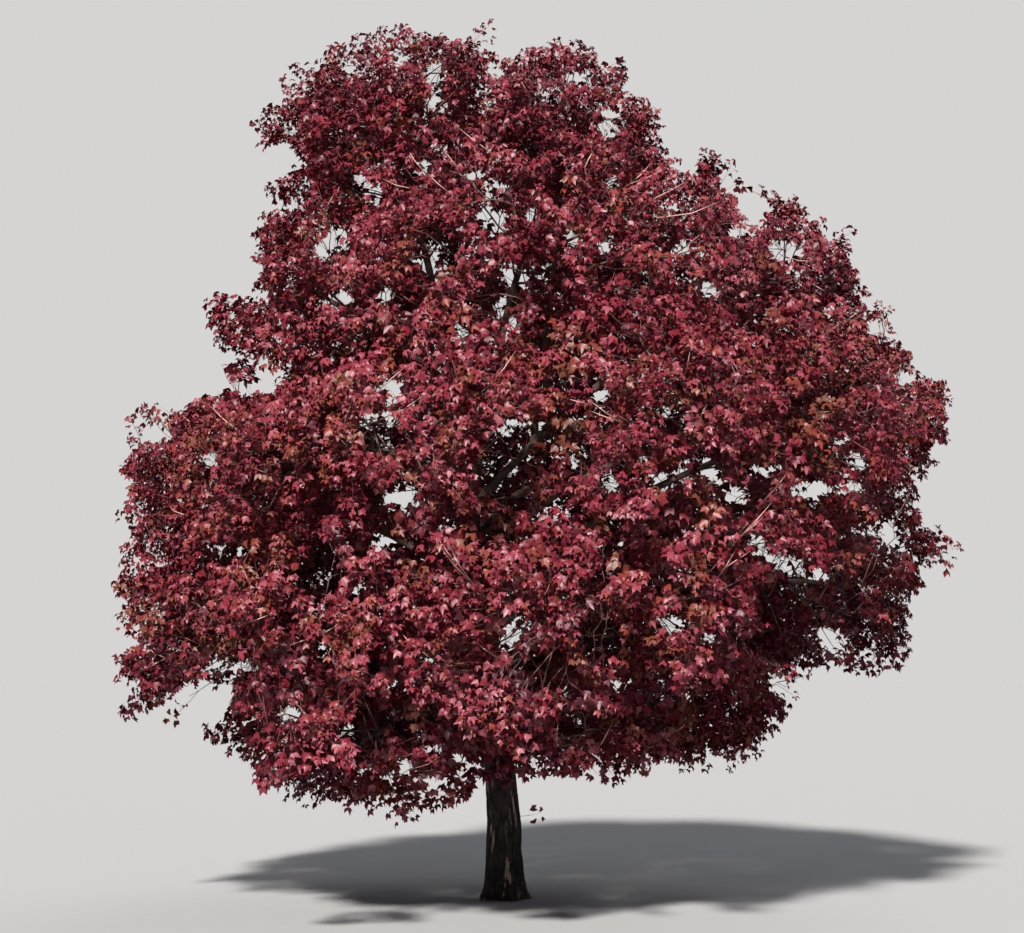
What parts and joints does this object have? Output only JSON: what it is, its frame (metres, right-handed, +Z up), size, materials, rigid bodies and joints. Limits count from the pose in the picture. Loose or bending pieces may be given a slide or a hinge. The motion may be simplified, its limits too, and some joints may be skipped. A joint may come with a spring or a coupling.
{
  "type": "purple-leaved maple tree",
  "caption": "Young purple-leaved maple with a leaning flared trunk, a fork into leaders, tapering boughs and a broad egg-shaped crown of leaf masses, in spring leaf.",
  "frame": {"origin": "middle of the flat cut under the trunk, at ground level", "axes": "+Z up along the plant, +X to the right seen from the front, front of the plant towards -Y"},
  "size_m": [6.1149, 5.4338, 6.3442],
  "materials": {
    "bark": "rough grey-brown bark with narrow upright fissures, matt",
    "foliage": "dark crimson spring leaves with a soft waxy gloss, some bronze and brick-red sprays"
  },
  "bodies": {
    "root": {"leader_centre": "bark", "leader_left": "bark", "leader_right": "bark", "low_bough_1": "bark", "low_bough_2": "bark", "low_bough_3": "bark", "low_bough_4": "bark", "low_bough_5": "bark", "low_mass_1": "foliage", "low_mass_10": "foliage", "low_mass_2": "foliage", "low_mass_3": "foliage", "low_mass_4": "foliage", "low_mass_5": "foliage", "low_mass_6": "foliage", "low_mass_7": "foliage", "low_mass_8": "foliage", "low_mass_9": "foliage", "middle_bough_1": "bark", "middle_bough_2": "bark", "middle_bough_3": "bark", "middle_bough_4": "bark", "middle_bough_5": "bark", "middle_mass_1": "foliage", "middle_mass_10": "foliage", "middle_mass_2": "foliage", "middle_mass_3": "foliage", "middle_mass_4": "foliage", "middle_mass_5": "foliage", "middle_mass_6": "foliage", "middle_mass_7": "foliage", "middle_mass_8": "foliage", "middle_mass_9": "foliage", "skirt_bough_1": "bark", "skirt_bough_2": "bark", "skirt_bough_3": "bark", "skirt_mass_1": "foliage", "skirt_mass_2": "foliage", "skirt_mass_3": "foliage", "skirt_mass_4": "foliage", "skirt_mass_5": "foliage", "skirt_mass_6": "foliage", "top_mass_1": "foliage", "top_mass_2": "foliage", "top_mass_3": "foliage", "top_mass_4": "foliage", "trunk": "bark", "upper_bough_1": "bark", "upper_bough_2": "bark", "upper_bough_3": "bark", "upper_mass_1": "foliage", "upper_mass_2": "foliage", "upper_mass_3": "foliage", "upper_mass_4": "foliage", "upper_mass_5": "foliage", "upper_mass_6": "foliage", "upper_mass_7": "foliage", "upper_mass_8": "foliage"}
  },
  "joints": []
}
